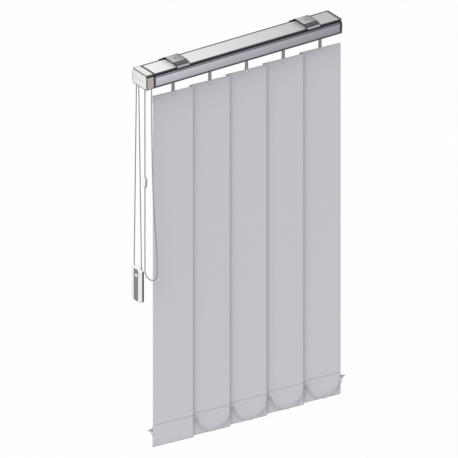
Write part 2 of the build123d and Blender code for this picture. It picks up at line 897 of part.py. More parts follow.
def case_shell(side):
    """One half of the cord weight's case; side is -1 for the outer half and 1 for the inner one."""
    split = Plane((cord_x, case_y, case_middle), x_dir=(0, side, 0), z_dir=(side, 0, 0))
    half = case_depth / 2
    axle_z = case_pulley_z - case_middle
    inner_width = case_width - 2 * case_wall
    inner_length = case_length - 2 * case_wall
    with BuildPart() as shell:
        with BuildSketch(split):
            RectangleRounded(case_width, case_length, case_corner)
        extrude(amount=half)
        fillet(shell.faces().sort_by(Axis.X)[0 if side < 0 else -1].edges(), case_edge_radius)
        with BuildSketch(split):
            RectangleRounded(inner_width, inner_length, case_corner - case_wall)
        extrude(amount=half - case_wall, mode=Mode.SUBTRACT)
        with BuildSketch(split):
            with Locations((-case_pulley_radius, case_length / 2), (case_pulley_radius, case_length / 2)):
                Rectangle(2 * (cord_radius + running_gap), 2 * strand_slot_depth)
        extrude(amount=cord_radius + running_gap, mode=Mode.SUBTRACT)
        if side < 0:
            with BuildSketch(split.offset(half)):
                RectangleRounded(panel_width, panel_height, panel_corner)
                with Locations((0, axle_z)):
                    Circle(button_radius, mode=Mode.SUBTRACT)
            extrude(amount=-panel_depth, mode=Mode.SUBTRACT)
            with BuildSketch(split.offset(half - case_wall)):
                with Locations((0, axle_z)):
                    Circle(case_pin_radius)
            extrude(amount=-(half - case_wall + case_pin_overlap))
    return shell


save(case_shell(-1), "cord_weight_shell_left")
save(case_shell(1), "cord_weight_shell_right")
weight_wheel = Plane((cord_x, case_y, case_pulley_z), x_dir=(0, 1, 0), z_dir=(1, 0, 0))
case_bore = case_pin_radius + journal_clearance
save(pulley(weight_wheel, case_pulley_radius, case_pulley_width, case_bore), "cord_weight_pulley")
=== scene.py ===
from math import cos, pi, radians, sin

import bmesh
import bpy
import numpy as np
from bpy.props import FloatProperty, FloatVectorProperty, PointerProperty
from bpy.types import Operator, Panel, PropertyGroup
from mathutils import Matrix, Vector


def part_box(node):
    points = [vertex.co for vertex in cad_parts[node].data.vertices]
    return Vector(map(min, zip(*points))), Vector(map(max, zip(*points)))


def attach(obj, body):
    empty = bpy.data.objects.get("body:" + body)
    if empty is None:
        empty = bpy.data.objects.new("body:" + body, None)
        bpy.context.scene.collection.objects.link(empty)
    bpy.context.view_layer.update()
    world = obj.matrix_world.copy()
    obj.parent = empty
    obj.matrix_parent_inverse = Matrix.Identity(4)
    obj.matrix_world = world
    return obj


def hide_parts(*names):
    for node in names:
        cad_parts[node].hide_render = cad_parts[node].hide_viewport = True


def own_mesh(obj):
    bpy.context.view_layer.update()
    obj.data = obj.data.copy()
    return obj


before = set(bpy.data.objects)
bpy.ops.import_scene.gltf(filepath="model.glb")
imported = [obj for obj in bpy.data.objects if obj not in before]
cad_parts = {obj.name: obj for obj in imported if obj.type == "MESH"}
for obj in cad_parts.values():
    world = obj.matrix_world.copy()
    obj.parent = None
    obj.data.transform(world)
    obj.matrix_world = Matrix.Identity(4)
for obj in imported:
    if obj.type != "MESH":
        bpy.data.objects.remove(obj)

bl_info = {
    "name": "Vertical blind",
    "version": (1, 0, 0),
    "blender": (4, 5, 0),
    "location": "3D View > Sidebar > Blind",
    "description": "Fabric slats, chains, cord and finishes for a vertical blind under a headrail",
    "category": "Object",
}

MM = 0.001

# Corners of pieces, in metres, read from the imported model
RAIL_LOW, RAIL_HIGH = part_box("headrail")
SLAT_LOW, SLAT_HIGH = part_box("slat_1")
CASE_LOW, CASE_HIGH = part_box("cord_weight_shell_left")
PULLEY_LOW, PULLEY_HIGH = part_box("cord_weight_pulley")
SLEEVE_LOW, SLEEVE_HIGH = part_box("chain_connector")
CLIP_LOW, CLIP_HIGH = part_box("ceiling_clip_left")
CAP_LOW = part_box("control_end_cap")[0]

# What the camera looks at, how far away it stands, and the way that the lamp shines
AIM = Vector((-0.0268, 0.0, -0.3914))
STAND_OFF = 3.0
LAMP_RAY = Vector((0.50, 0.42, -0.76))

# Half of the floor's side
FLOOR_HALF = 6.0

# Where the groove under each lip of the rail begins and ends, below the rail's top
GROOVE_HEAD, GROOVE_FOOT = 1.2 * MM, 5.4 * MM

# How far below the button the rows of a slat are pulled towards its notch
NOTCH_STRETCH = 12 * MM

# The tilt chain's sprocket: its centre and its number of pockets
SPROCKET_CENTRE = (-0.2182, -0.008, -0.023)
SPROCKET_POCKETS = 16

# Half of the distance between the traverse cord's two strands at the cord weight
CORD_TURN = 12 * MM

# Radius of a linking chain's end balls, and its sag as shares of its length and its depth
LINK_BALL = 1.7 * MM
DROOP = (
    (0.0, 0.0),
    (0.05, 0.36),
    (0.15, 0.68),
    (0.3, 0.9),
    (0.5, 1.0),
    (0.7, 0.9),
    (0.85, 0.68),
    (0.95, 0.36),
    (1.0, 0.0),
)


def length(name, description, default):
    """A size in metres with its name and description."""
    return FloatProperty(name=name, description=description, default=default, unit="LENGTH", precision=5)


def colour(name, description, default):
    """A colour that the user may change, with its name and description."""
    return FloatVectorProperty(
        name=name, description=description, default=default, subtype="COLOR", size=3, min=0.0, max=1.0
    )


def angle(name, description, degrees):
    """An angle, given in degrees, with its name and description."""
    return FloatProperty(name=name, description=description, default=radians(degrees), subtype="ANGLE")


def strength(name, description, default):
    """A light's strength with its name and description."""
    return FloatProperty(name=name, description=description, default=default, min=0.0)


class BlindSizes(PropertyGroup):
    """Sizes of the soft pieces"""

    slat_width: length("Slat width", "Width of one fabric slat", 89 * MM)
    cloth: length("Cloth", "Thickness of the slat cloth", 0.35 * MM)
    pocket: length("Pocket", "Room inside the pockets at the top and foot of a slat", 1.0 * MM)
    top_pocket: length("Top pocket", "Depth of the pocket that holds the hanger", 17 * MM)
    foot_pocket: length("Foot pocket", "Depth of the pocket that holds the weight", 46 * MM)
    clip: length("Clip", "Width of a ceiling clip", 31 * MM)
    notch: length("Notch radius", "Radius of the cut-out round the hanger's button", 4.5 * MM)
    button_drop: length("Button drop", "Distance from a slat's top to the button", 3.7 * MM)
    link_bead: length("Link bead", "Diameter of a bead of the linking chains", 2.4 * MM)
    link_pitch: length("Link bead pitch", "Distance between beads of the linking chains", 3.5 * MM)
    chain_bead: length("Chain bead", "Diameter of a bead of the tilt chain", 3.2 * MM)
    chain_pitch: length("Chain bead pitch", "Distance between beads of the tilt chain", 4.3 * MM)
    cord: length("Cord", "Diameter of the traverse cord", 2.0 * MM)
    rest_tilt: angle("Rest tilt", "Turn of the closed slats that lets them overlap", 4.5)


class BlindFinishes(PropertyGroup):
    """Colours of the blind"""

    slat: colour("Slats", "Cloth of the slats", (0.533, 0.526, 0.558))
    # Painted light and shade: the rail is one coating, shown paler on top and darker towards the far end
    rail: colour("Rail", "Coating on the rail's front and back at the controls", (0.545, 0.53, 0.59))
    rail_far_painted_shade: colour("Rail, far end", "Coating on the front and back at the far end", (0.268, 0.258, 0.298))
    rail_top: colour("Rail top", "Coating on the rail's top at the controls", (0.86, 0.86, 0.86))
    rail_top_far: colour("Rail top, far end", "Coating on the top at the far end", (0.43, 0.43, 0.445))
    # Dark colour of painted shade in grooves, under the lips, along edges and at joints
    shadow: colour("Grooves", "Colour inside grooves and joints", (0.014, 0.014, 0.017))
    cap: colour("Control cap", "Moulded cap at the controls", (0.80, 0.79, 0.79))
    # Painted shade on the control cap's side towards the room
    cap_painted_shade_side: colour("Control cap, side", "Side of that cap towards the room", (0.36, 0.33, 0.315))
    return_cap: colour("Return cap", "Thin cap at the far end", (0.035, 0.035, 0.037))
    clip: colour("Clips", "Ceiling clips", (0.37, 0.355, 0.37))
    clip_nose: colour("Clip noses", "Folded front of the ceiling clips", (0.20, 0.185, 0.18))
    stem: colour("Stems", "Stems below the rail", (0.25, 0.25, 0.25))
    button: colour("Buttons", "Hangers and their buttons", (0.86, 0.86, 0.84))
    plate: colour("Weights", "Plates and ears at the foot of the slats", (0.33, 0.33, 0.345))
    gear: colour("Running gear", "Carriers, pulleys and sprocket", (0.72, 0.72, 0.71))
    chain: colour("Tilt chain", "Beads of the tilt chain", (0.25, 0.25, 0.25))
    link: colour("Linking chains", "Beads of the linking chains", (0.36, 0.36, 0.37))
    cord: colour("Cord", "Braid of the traverse cord", (0.20, 0.20, 0.20))
    sleeve: colour("Connector, rear", "Rear half of the chain connector", (0.88, 0.88, 0.87))
    # Painted shade on the connector's front half
    sleeve_painted_shade_half: colour("Connector, front", "Front half of the chain connector", (0.36, 0.37, 0.38))
    case: colour("Cord weight", "Case of the cord weight", (0.78, 0.78, 0.78))
    # Painted shade on the cord weight's face towards the room
    case_painted_shade_strip: colour("Weight edge", "Room side of the case half beside the slats", (0.02, 0.028, 0.024))
    panel: colour("Weight panel", "Recessed panel of the cord weight", (0.13, 0.12, 0.12))


class BlindStage(PropertyGroup):
    """Camera and light"""

    view_width: length("View width", "Width of the camera's parallel view", 0.8675)
    azimuth: angle("Azimuth", "Camera's turn about the blind", -34.6)
    elevation: angle("Elevation", "Camera's height angle", 25.3)
    floor_drop: length("Floor drop", "Distance of the floor below the ceiling plane", 1.6)
    lamp: strength("Lamp", "Strength of the soft lamp", 2.05)
    room: strength("Room light", "Strength of the light from all round", 0.575)


def sizes():
    """The sizes that the panel shows."""
    return bpy.context.scene.blind_sizes


def finishes():
    """The colours that the panel shows."""
    return bpy.context.scene.blind_finishes


class Value:
    """A socket that carries a number. Python's operators on it add Math nodes."""

    def __init__(self, nodes, socket):
        self.nodes = nodes
        self.socket = socket

    def math(self, operation, *others):
        """The output of a Math node on this value and others."""
        inputs = dict(enumerate((self, *others)))
        return self.nodes.node("ShaderNodeMath", {"operation": operation}, inputs)

    def __add__(self, other):
        return self.math("ADD", other)

    def __sub__(self, other):
        return self.math("SUBTRACT", other)

    def __rsub__(self, other):
        return self.nodes.node("ShaderNodeMath", {"operation": "SUBTRACT"}, {0: other, 1: self})

    def __mul__(self, other):
        return self.math("MULTIPLY", other)

    def __truediv__(self, other):
        return self.math("DIVIDE", other)

    def __pow__(self, other):
        return self.math("POWER", other)

    def __lt__(self, other):
        return self.math("LESS_THAN", other)

    def __gt__(self, other):
        return self.math("GREATER_THAN", other)

    def __abs__(self):
        return self.math("ABSOLUTE")

    __radd__ = __add__
    __rmul__ = __mul__

    def sine(self):
        """The sine of this value in radians."""
        return self.math("SINE")

    def most(self, other):
        """The larger of this value and another."""
        return self.math("MAXIMUM", other)

    def band(self, middle, half, soft):
        """1 within half of the middle, falling to 0 over the soft distance."""
        gap = abs(self - middle)
        return self.nodes.node(
            "ShaderNodeMapRange",
            {"interpolation_type": "SMOOTHSTEP", "clamp": True},
            {0: gap, 1: half, 2: half + soft, 3: 1.0, 4: 0.0},
        )


class Nodes:
    """A node tree under construction, with one method for any node."""

    def __init__(self, tree):
        self.tree = tree
        self.tree.nodes.clear()

    def node(self, kind, settings=None, inputs=None, output=0):
        """Adds a node, sets it, feeds its sockets with numbers or links, and gives one output."""
        made = self.tree.nodes.new(kind)
        for name, value in (settings or {}).items():
            setattr(made, name, value)
        for name, value in (inputs or {}).items():
            self.feed(made.inputs[name], value)
        return Value(self, made.outputs[output])

    def feed(self, socket, value):
        """Links a value to a socket, or sets the socket to a number or colour."""
        if isinstance(value, Value):
            self.tree.links.new(value.socket, socket)
        else:
            socket.default_value = value

    def parts(self, vector):
        """X, Y and Z of a vector."""
        split = self.node("ShaderNodeSeparateXYZ", inputs={0: vector})
        return [Value(self, output) for output in split.socket.node.outputs]

    def background_ray(self):
        """1 for a ray that shows the background: the camera's own, off gloss or through glass."""
        rays = self.node("ShaderNodeLightPath").socket.node.outputs
        camera, glossy = Value(self, rays["Is Camera Ray"]), Value(self, rays["Is Glossy Ray"])
        return camera.most(glossy).most(Value(self, rays["Is Transmission Ray"]))


class Finish(Nodes):
    """A material under construction."""

    def __init__(self, name):
        self.material = bpy.data.materials.new(name)
        self.material.use_nodes = True
        super().__init__(self.material.node_tree)
        self.output = self.tree.nodes.new("ShaderNodeOutputMaterial")
        self.shader = self.tree.nodes.new("ShaderNodeBsdfPrincipled")
        self.tree.links.new(self.shader.outputs[0], self.output.inputs[0])

    def point(self):
        """The point on the piece, in metres."""
        return self.node("ShaderNodeTexCoord", output="Object")

    def place(self):
        """The point on the piece, and its X, Y and Z in metres."""
        point = self.point()
        return (point, *self.parts(point))

    def mark(self):
        """The place on the piece's own UV map, and its two parts.

        They are metres across and along a cloth, and turns round and metres along a cord.
        """
        place = self.node("ShaderNodeTexCoord", output="UV")
        return (place, *self.parts(place)[:2])

    def noise(self, where, scale, detail=3.0, stretch=(1.0, 1.0, 1.0)):
        """Noise between 0 and 1, finer with a larger scale or stretch."""
        spread = self.node("ShaderNodeMapping", inputs={"Vector": where, "Scale": stretch})
        return self.node("ShaderNodeTexNoise", inputs={"Vector": spread, "Scale": scale, "Detail": detail})

    def mix(self, share, a, b):
        """Colour a turning into colour b with the share.

        The colours of a Mix node are its inputs 6 and 7 and its output 2.
        """
        made = self.tree.nodes.new("ShaderNodeMix")
        made.data_type = "RGBA"
        self.feed(made.inputs[0], share)
        self.feed(made.inputs[6], a if isinstance(a, Value) else (*a, 1.0))
        self.feed(made.inputs[7], b if isinstance(b, Value) else (*b, 1.0))
        return Value(self, made.outputs[2])

    def darken(self, base, shares):
        """A colour turned into the shadow colour by each share in turn, for painted shade and for the
        clips' darker rolling lines.
        """
        for share in shares:
            base = self.mix(share, base, finishes().shadow)
        return base

    def bump(self, height, distance, strength):
        """Gives the surface a relief of the distance in metres."""
        inputs = {"Strength": strength, "Distance": distance, "Height": height}
        relief = self.node("ShaderNodeBump", inputs=inputs)
        self.tree.links.new(relief.socket, self.shader.inputs["Normal"])

    def finish(self, base, roughness, **constants):
        """Feeds the shader. Names of constants are the shader's sockets with underscores."""
        self.feed(self.shader.inputs["Base Color"], base if isinstance(base, Value) else (*base, 1.0))
        self.feed(self.shader.inputs["Roughness"], roughness)
        for name, value in constants.items():
            self.shader.inputs[name.replace("_", " ")].default_value = value
        return self.material


def shade(tone, factor):
    """A colour made darker or lighter by one factor."""
    return tuple(min(1.0, part * factor) for part in tone)


def slat_cloth():
    """Woven polyester: warp and weft ribs, slubs, welded seams and sealed edges, with painted shade along
    the edges and at the foot's fold.

    The weave's height is (p + q) / 2 + 0.4 p q, where p and q are the sines of the warp's and
    the weft's threads.
    """
    warp_pitch, weft_pitch = 0.00055, 0.00048
    size, tone = sizes(), finishes().slat
    f = Finish("slat_cloth")
    where, across, along = f.mark()
    warp = (across * (2 * pi / warp_pitch)).sine()
    weft = (along * (2 * pi / weft_pitch)).sine()
    weave = warp * 0.5 + weft * 0.5 + (warp * weft) * 0.4
    slub = f.noise(where, 900.0, 2.0, (0.12, 1.0, 1.0))
    drift = f.noise(where, 9.0, 2.0)
    base = f.mix(slub, shade(tone, 0.96), shade(tone, 1.04))
    base = f.mix(drift * 0.25, base, shade(tone, 0.95))
    # Painted shade along both edges, where the slats overlap, and more of it along the left edge
    edge = (abs(across) > size.slat_width / 2 - 0.0005) * 0.04
    base = f.mix(edge, base, shade(tone, 0.6))
    painted_left_edge_shade = across.band(-size.slat_width / 2, 0.0, 0.006) * 0.04
    base = f.mix(painted_left_edge_shade, base, shade(tone, 0.6))
    weld = along.band(hem_level(), 0.0007, 0.0016) * 0.42
    base = f.mix(weld, base, shade(tone, 0.55))
    # Painted shade along the foot's fold
    fold = along.band(fold_level(), 0.0008, 0.0014) * 0.4
    base = f.mix(fold, base, shade(tone, 0.5))
    f.bump(weave + slub * 0.8, 0.00006, 0.5)
    return f.finish(base, 0.86, Sheen_Weight=0.12, Sheen_Roughness=0.5)


def hem_level():
    """Where the foot pocket's seam crosses the front, in metres along the cloth."""
    size = sizes()
    return 2 * size.foot_pocket + (pi - 2) * (size.pocket + size.cloth) / 2 - size.cloth


def fold_level():
    """Where the foot's fold comes to the front face, in metres along the cloth."""
    size = sizes()
    return size.foot_pocket + (pi - 1) * (size.pocket + size.cloth) / 2 - size.cloth / 2


def in_groove(z):
    """1 at the height of the groove under the rail's lips."""
    return (z < RAIL_HIGH.z - GROOVE_HEAD) * (z > RAIL_HIGH.z - GROOVE_FOOT)


def coated_rail():
    """Powder-coated aluminium with painted light on top and painted shade towards the bottom and the far
    end, in and under the grooves, along the edges and at the cap joints.
    """
    tone = finishes()
    f = Finish("coated_rail")
    where, x, y, z = f.place()
    grain = f.noise(where, 2600.0, 2.0)
    drift = f.noise(where, 14.0, 2.0)
    along = (x - RAIL_LOW.x) / (RAIL_HIGH.x - RAIL_LOW.x)
    # Painted light and shade: the top paler, the front and back lighter towards the top, and all of it
    # darker towards the far end
    top = z > RAIL_HIGH.z - 0.0005
    tall = (z - RAIL_LOW.z) / (RAIL_HIGH.z - RAIL_LOW.z)
    near = f.mix(tall, shade(tone.rail, 0.80), shade(tone.rail, 1.22))
    far = f.mix(tall, shade(tone.rail_far_painted_shade, 0.86), shade(tone.rail_far_painted_shade, 1.16))
    base = f.mix(top, f.mix(along, near, far), f.mix(along, tone.rail_top, tone.rail_top_far))
    base = f.mix(drift * 0.12, base, tone.rail_far_painted_shade)
    # Painted shade along the long edges, at the rear top edge, in and under the groove and at the cap
    # joints
    side = (y < RAIL_LOW.y + 0.0036).most(y > RAIL_HIGH.y - 0.0036)
    level = (z < RAIL_LOW.z + 0.0048).most(z > RAIL_HIGH.z - 0.0012)
    painted_rear_edge_shade = (y > RAIL_HIGH.y - 0.0055) * top
    painted_shade_under_groove = z.band(RAIL_HIGH.z - 0.0064, 0.0010, 0.0004)
    line = z.band(RAIL_HIGH.z - 0.0082, 0.0007, 0.0005)
    joint = (x < RAIL_LOW.x + 0.0028).most(x > RAIL_HIGH.x - 0.0032)
    base = f.darken(base, [side * level * 0.96, painted_rear_edge_shade * 0.95, painted_shade_under_groove * 0.6, line * 0.85])
    base = f.darken(base, [in_groove(z) * 0.96, joint * 0.98])
    f.bump(grain, 0.00004, 0.35)
    return f.finish(base, 0.38 + drift * 0.08, Coat_Weight=0.15, Coat_Roughness=0.25)


def moulded(name, tone, roughness, grain_size=1700.0, relief=0.00005):
    """Moulded plastic with a fine spark-eroded grain and slightly uneven colour and gloss."""
    f = Finish(name)
    where = f.point()
    grain = f.noise(where, grain_size, 3.0)
    drift = f.noise(where, 30.0, 2.0)
    base = f.mix(drift, shade(tone, 0.94), shade(tone, 1.06))
    f.bump(grain, relief, 0.4)
    return f.finish(base, roughness - 0.05 + drift * 0.1)


def cap_plastic():
    """The control cap: satin white, with painted shade on its side towards the room, in the groove, at the
    joint and along the edges.

    Its end shows a painted shade line round a shallow recess.
    """
    tone = finishes()
    f = Finish("cap_plastic")
    where, x, y, z = f.place()
    grain = f.noise(where, 1500.0, 3.0)
    drift = f.noise(where, 25.0, 2.0)
    base = f.mix(drift, shade(tone.cap, 0.96), shade(tone.cap, 1.03))
    # Painted shade on the side towards the room
    painted_shade_room_side = (y < -0.0195) * (x > CAP_LOW.x + 0.0006)
    base = f.mix(painted_shade_room_side * 0.9, base, tone.cap_painted_shade_side)
    # Painted shade in the groove and at the joint with the rail
    groove = in_groove(z) * (x > CAP_LOW.x + 0.0005)
    joint = (x > RAIL_LOW.x - 0.0024) * (x < 0.0)
    base = f.darken(base, [groove * 0.75, joint * 0.98])
    # Painted shade along the edges
    end = x < CAP_LOW.x + 0.0018
    side = abs(y) > (RAIL_HIGH.y - RAIL_LOW.y) / 2 - 0.0028
    level = (z < RAIL_LOW.z + 0.0020).most(z > RAIL_HIGH.z - 0.0016)
    edges = (end * level.most(side)).most(side * level)
    base = f.mix(edges * 0.9, base, (0.05, 0.045, 0.045))
    # Painted shade line round the end's shallow recess
    recess = RAIL_HIGH.z - 0.0105
    outline = end * y.band(0.0, 0.0134, 0.0002) * z.band(recess, 0.0059, 0.0002)
    outline = outline * (1 - y.band(0.0, 0.0122, 0.0004) * z.band(recess, 0.0047, 0.0004))
    base = f.mix(outline * 0.6, base, (0.42, 0.36, 0.36))
    f.bump(grain, 0.00006, 0.35)
    return f.finish(base, 0.4 + drift * 0.08)


def spring_steel():
    """Coated spring steel with faint rolling lines and painted light and shade, lighter at the left end of
    each clip and darker towards the right.

    Painted shade marks the ridges of its folded nose, its two ends and the heel that grips the rail.
    """
    size, tone = sizes(), finishes()
    f = Finish("spring_steel")
    where, x, y, z = f.place()
    rolled = f.noise(where, 500.0, 2.0, (0.05, 1.0, 1.0))
    drift = f.noise(where, 40.0, 2.0)
    along = (x - RAIL_LOW.x) / (RAIL_HIGH.x - RAIL_LOW.x)
    middle = (CLIP_HIGH.x + CLIP_LOW.x) / 2
    local = x - middle + (x > 0.0) * (2 * middle)
    # Painted light and shade across each clip, lighter at its left end
    painted_light_to_shade = f.mix(local / size.clip + 0.5, shade(tone.clip, 1.55), shade(tone.clip, 0.62))
    base = f.darken(painted_light_to_shade, [rolled * 0.15])
    nose = y < CLIP_LOW.y + 0.0121
    # Painted shade on the nose, darker towards the far end
    fold = f.mix(along, shade(tone.clip_nose, 0.84), shade(tone.clip_nose, 0.52))
    base = f.mix(nose, base, f.darken(fold, [rolled * 0.2]))
    # Painted highlights on a band of the nose and along its front edge
    base = f.mix(y.band(CLIP_LOW.y + 0.0086, 0.0007, 0.0006) * 0.5, base, shade(tone.clip_nose, 2.4))
    base = f.mix((y < CLIP_LOW.y + 0.0016) * 0.6, base, shade(tone.clip, 1.5))
    # Painted shade lines at the nose's ridges, the clip's ends and the heel
    reaches = (0.0024, 0.0054, 0.0099, 0.0120)
    ridges = [y.band(CLIP_LOW.y + reach, 0.0005, 0.0005) * 0.85 for reach in reaches]
    ends = abs(local) > size.clip / 2 - 0.0016
    heel = (y > 0.0205) * (z < RAIL_HIGH.z + 0.0014)
    base = f.darken(base, [*ridges, ends * 0.85, heel * 0.95])
    f.bump(rolled, 0.00004, 0.3)
    return f.finish(base, 0.34 + drift * 0.12, Metallic=0.35)


def metal(name, tone, roughness, stretch):
    """Bare metal, drawn or ground along one direction."""
    f = Finish(name)
    lines = f.noise(f.point(), 1800.0, 2.0, stretch)
    base = f.mix(lines, shade(tone, 0.9), shade(tone, 1.08))
    f.bump(lines, 0.00003, 0.3)
    return f.finish(base, roughness + lines * 0.12, Metallic=0.9)


def stem_plastic():
    """Cloudy plastic, a little lighter at the flared foot."""
    tone = finishes().stem
    f = Finish("stem_plastic")
    where, *_, z = f.place()
    cloud = f.noise(where, 260.0, 3.0)
    base = f.mix(cloud, shade(tone, 0.85), shade(tone, 1.25))
    foot = z.band(SLAT_HIGH.z - 0.003, 0.002, 0.006)
    base = f.mix(foot * 0.3, base, shade(tone, 2.0))
    f.bump(cloud, 0.00003, 0.3)
    return f.finish(base, 0.3 + cloud * 0.1, Coat_Weight=0.3, Coat_Roughness=0.2)


def plate_plastic():
    """The foot weight: grey plastic, more uneven in colour than the moulded caps."""
    tone = finishes().plate
    f = Finish("plate_plastic")
    where = f.point()
    grain = f.noise(where, 1500.0, 3.0)
    drift = f.noise(where, 45.0, 2.0)
    base = f.mix(drift, shade(tone, 0.9), shade(tone, 1.1))
    f.bump(grain, 0.00005, 0.4)
    return f.finish(base, 0.45 + drift * 0.08)


def braid():
    """Braided polyester cord: two families of strands that wind round it in opposite ways.

    Their height is max(sin(a + b), sin(a - b)), where a is the turn round the cord times the
    number of strands and b grows by a full turn with each pitch along it.
    """
    strand_count, pitch = 8, 0.0022
    tone = finishes().cord
    f = Finish("cord_braid")
    where, around, along = f.mark()
    wound, run = around * (strand_count * 2 * pi), along * (2 * pi / pitch)
    strands = (wound + run).sine().most((wound - run).sine())
    fibre = f.noise(where, 60.0, 3.0, (1.0, 400.0, 1.0))
    # Painted light and shade on the braid: lighter on the strands' crowns, darker in the hollows between
    # them
    base = f.mix(strands * 0.5 + 0.5, shade(tone, 0.8), shade(tone, 1.12))
    base = f.mix(fibre * 0.3, base, shade(tone, 0.85))
    f.bump(strands + fibre * 0.4, 0.00012, 0.6)
    return f.finish(base, 0.8, Sheen_Weight=0.1)


def bead_plastic(name, tone):
    """Moulded beads with a fine grain and a faint flash line on two sides."""
    f = Finish(name)
    where, around, _ = f.mark()
    grain = f.noise(where, 300.0, 2.0, (1.0, 60.0, 1.0))
    flash = around.band(0.25, 0.004, 0.01).most(around.band(0.75, 0.004, 0.01))
    base = f.mix(grain, shade(tone, 0.9), shade(tone, 1.1))
    base = f.mix(flash * 0.2, base, shade(tone, 0.6))
    f.bump(grain + flash, 0.00004, 0.3)
    return f.finish(base, 0.32 + grain * 0.12)


def case_half(name, detail):
    """One half of the cord weight: satin case with a pale top, and what detail adds to its colour."""
    tone = finishes()
    f = Finish(name)
    where, x, y, z = f.place()
    grain = f.noise(where, 1500.0, 3.0)
    drift = f.noise(where, 60.0, 2.0)
    base = f.mix(drift, shade(tone.case, 0.95), shade(tone.case, 1.05))
    base = detail(f, base, drift, (x, y, z))
    base = f.mix((z > CASE_HIGH.z - 0.004) * 0.6, base, (0.9, 0.86, 0.86))
    f.bump(grain, 0.00005, 0.35)
    return f.finish(base, 0.36 + drift * 0.1)


def panel_and_button(f, base, drift, here):
    """The outer half's dark recessed panel and the pale button over the pulley's axle."""
    x, y, z = here
    middle = (CASE_LOW + CASE_HIGH) / 2
    outer = x < CASE_LOW.x + 0.0008
    face = outer * y.band(middle.y, 0.0074, 0.0001) * z.band(middle.z, 0.033, 0.0001)
    floor = (x > CASE_LOW.x + 0.0003) * face
    base = f.mix(floor * 0.92, base, finishes().panel)
    axle = (PULLEY_LOW + PULLEY_HIGH) / 2
    reach = ((y - axle.y) ** 2 + (z - axle.z) ** 2) ** 0.5
    return f.mix((reach < 0.0034) * outer, base, (0.88, 0.88, 0.88))


def painted_shade_strip(f, base, drift, here):
    """Painted shade on the inner half's face towards the room."""
    _, y, z = here
    tone = finishes().case_painted_shade_strip
    # Painted shade on the face towards the room
    strip = (y < CASE_LOW.y + 0.0046) * (z < CASE_HIGH.z - 0.0050)
    return f.mix(strip, base, f.mix(drift, shade(tone, 0.9), shade(tone, 1.2)))


def sleeve_plastic():
    """The chain connector: two snapped white halves, with painted shade making the front one grey and
    darker painted shade at its foot.

    They meet on the plane 0.82 x - 0.57 y = constant through the connector's middle.
    """
    tone = finishes()
    f = Finish("sleeve_plastic")
    where, x, y, z = f.place()
    middle = (SLEEVE_LOW + SLEEVE_HIGH) / 2
    grain = f.noise(where, 1500.0, 2.0)
    # Painted shade on the half away from the lamp
    painted_shade_half = (x * 0.82 - y * 0.57) > (middle.x * 0.82 - middle.y * 0.57)
    base = f.mix(painted_shade_half, tone.sleeve, tone.sleeve_painted_shade_half)
    # Darker painted shade at the foot of that half
    foot = painted_shade_half * (z < SLEEVE_LOW.z + 0.0055)
    base = f.mix(foot * 0.85, base, (0.07, 0.07, 0.07))
    f.bump(grain, 0.00004, 0.3)
    return f.finish(base, 0.24 + grain * 0.08)


def mesh_object(name, points, faces, marks, material, body):
    """A mesh piece from arrays: points (n, 3), faces (m, 4) and a UV mark for each point."""
    mesh = bpy.data.meshes.new(name)
    mesh.from_pydata(points.tolist(), [], faces.tolist())
    layer = mesh.uv_layers.new(name="UVMap")
    corner = np.empty(len(mesh.loops), np.int32)
    mesh.loops.foreach_get("vertex_index", corner)
    layer.data.foreach_set("uv", marks[corner].astype(np.float32).ravel())
    mesh.polygons.foreach_set("use_smooth", np.ones(len(mesh.polygons), bool))
    mesh.materials.append(material)
    piece = bpy.data.objects.new(name, mesh)
    bpy.context.scene.collection.objects.link(piece)
    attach(piece, body)
    return piece


def grid_faces(rows, columns):
    """Corner numbers of the quads of a grid of points."""
    row = np.arange(rows - 1)[:, None] * columns
    column = np.arange(columns - 1)[None, :]
    here = row + column
    return np.stack([here, here + 1, here + columns + 1, here + columns], -1)


def cloth_path():
    """The cut edge of the cloth from its foot flap to its top flap.

    The path is straight up the front face, a half circle of radius r = (pocket + cloth) / 2 at
    each end and a straight flap behind, whose last 3 mm close in on the front face with a
    smoothstep. It gives offsets towards the room, heights and lengths along the cloth.
    """
    size = sizes()
    r = (size.pocket + size.cloth) / 2
    low, high = SLAT_LOW.z + r + size.cloth / 2, SLAT_HIGH.z - r - size.cloth / 2
    foot, top = SLAT_LOW.z + size.foot_pocket, SLAT_HIGH.z - size.top_pocket
    button = SLAT_HIGH.z - size.button_drop
    reach = 3 * MM

    def flap(seam, fold):
        """Heights of a flap, closer together where it closes in on the front face at its seam."""
        closing_in = seam + np.sign(fold - seam) * np.linspace(0, reach, 7)
        return np.concatenate([closing_in, np.linspace(seam, fold, 5)[1:]])

    def behind(heights, seam):
        """Offsets of a flap's heights."""
        t = np.clip(abs(heights - seam) / reach, 0, 1)
        return -r + (1 - t * t * (3 - 2 * t)) * (2 * r - size.cloth)

    foot_flap, top_flap = flap(foot, low), flap(top, high)[::-1]
    turn = np.linspace(0, pi, 9)[1:-1]
    about_seam = np.linspace(-reach, reach, 9)
    at_notch = button - np.linspace(0, NOTCH_STRETCH, 9)
    front = np.concatenate([np.linspace(low, high, 62), foot + about_seam, top + about_seam, at_notch])
    front = np.unique(np.round(front, 7))
    front = front[(front >= low - 1e-7) & (front <= high + 1e-7)]
    face = np.full(front.size, r)
    round_foot, round_top = -r * np.cos(turn), r * np.cos(turn)
    offset = np.concatenate([behind(foot_flap, foot), round_foot, face, round_top, behind(top_flap, top)])
    below, above = low - r * np.sin(turn), high + r * np.sin(turn)
    height = np.concatenate([foot_flap, below, front, above, top_flap])
    along = np.concatenate([[0], np.cumsum(np.hypot(np.diff(offset), np.diff(height)))])
    return offset, height, along


